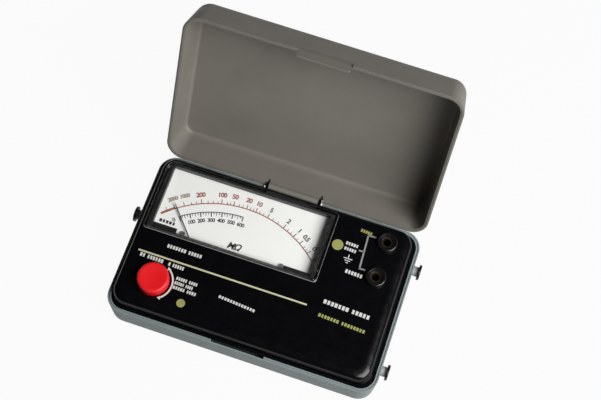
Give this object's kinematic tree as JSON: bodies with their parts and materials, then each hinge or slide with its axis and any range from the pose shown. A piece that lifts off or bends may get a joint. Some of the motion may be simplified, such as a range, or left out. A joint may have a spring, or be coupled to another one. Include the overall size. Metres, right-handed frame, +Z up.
{
  "type": "analogue insulation tester",
  "caption": "Analogue insulation tester in a hinged carrying case, with a moving-coil dial under a clear cover, a press-and-turn test button and lead sockets.",
  "frame": {"origin": "middle of the underside of the case, on the table", "axes": "+X to the user's right along the long side, +Y towards the hinge, +Z up out of the panel"},
  "size_m": [0.1446, 0.1392, 0.0967],
  "materials": {
    "case": "fine textured moulding",
    "lid": "fine textured moulding",
    "panel": "satin black moulding",
    "terminal": "turned black insulator",
    "clear_cover": "clear polished acrylic",
    "dial": "matt white enamel with printed scales",
    "button": "bright red moulding",
    "stem": "black moulding",
    "switch": "natural moulding",
    "steel": "zinc plated",
    "stud": "dark plated steel",
    "contact": "plain brass",
    "battery_box": "black moulding",
    "cell": "plain sleeve",
    "movement": "cast and machined",
    "magnet": "sintered magnet",
    "soft_iron": "machined soft iron",
    "jewel": "polished synthetic stone",
    "copper": "enamelled copper wire",
    "pointer": "painted black",
    "board": "green lacquered laminate",
    "core": "varnished laminations",
    "capacitor": "sleeved cans and dipped films",
    "fuse": "glass tube with plated caps"
  },
  "bodies": {
    "case": {"lower_case": "case", "battery_cover": "case", "battery_cover_screw": "steel", "case_screws": "steel", "battery_box": "battery_box", "battery_cell_1": "cell", "battery_cell_2": "cell", "battery_cell_3": "cell", "battery_cell_4": "cell", "battery_springs": "steel", "battery_plates": "steel", "upper_case": "panel", "meter_cover": "clear_cover", "dial_bezel": "panel", "dial_plate": "dial", "dial_screws": "steel", "movement_frame": "movement", "movement_bridge": "movement", "magnet_ring": "magnet", "pole_pieces": "soft_iron", "iron_core": "soft_iron", "jewel_bearings": "jewel", "hairspring": "contact", "button_guide": "panel", "button_spring": "steel", "switch_base": "switch", "switch_contacts": "contact", "line_terminal": "terminal", "earth_terminal": "terminal", "line_socket": "contact", "earth_socket": "contact", "terminal_nuts": "contact", "circuit_board": "board", "board_screws": "steel", "transformer_core": "core", "transformer_winding": "copper", "capacitors": "capacitor", "fuse": "fuse", "fuse_clips": "contact", "strap_studs": "stud", "hinge_pin": "steel"},
    "lid": {"lid_shell": "lid"},
    "slider": {"button_slider": "switch"},
    "button": {"test_button": "button", "button_stem": "stem"},
    "pointer": {"pointer": "pointer", "moving_coil": "copper", "coil_pivots": "steel"}
  },
  "joints": [
    {"name": "lid_hinge", "type": "hinge", "parent": "case", "child": "lid", "pos_m": [0, 0.043, 0.0185], "axis": [1, 0, 0], "range_deg": [0, 116]},
    {"name": "button_press", "type": "slide", "parent": "case", "child": "slider", "axis": [0, 0, -1], "range_m": [0, 0.003], "stiffness_N_per_m": 300, "springref_m": -0.003, "deforming": ["button_spring"]},
    {"name": "button_turn", "type": "hinge", "parent": "slider", "child": "button", "pos_m": [-0.0489, -0.0239, 0], "axis": [0, 0, 1], "range_deg": [-90, 0]},
    {"name": "pointer_sweep", "type": "hinge", "parent": "case", "child": "pointer", "pos_m": [-0.0197, -0.021, 0], "axis": [0, 0, -1], "range_deg": [-5, 88], "stiffness_Nm_per_rad": 0.00002}
  ]
}
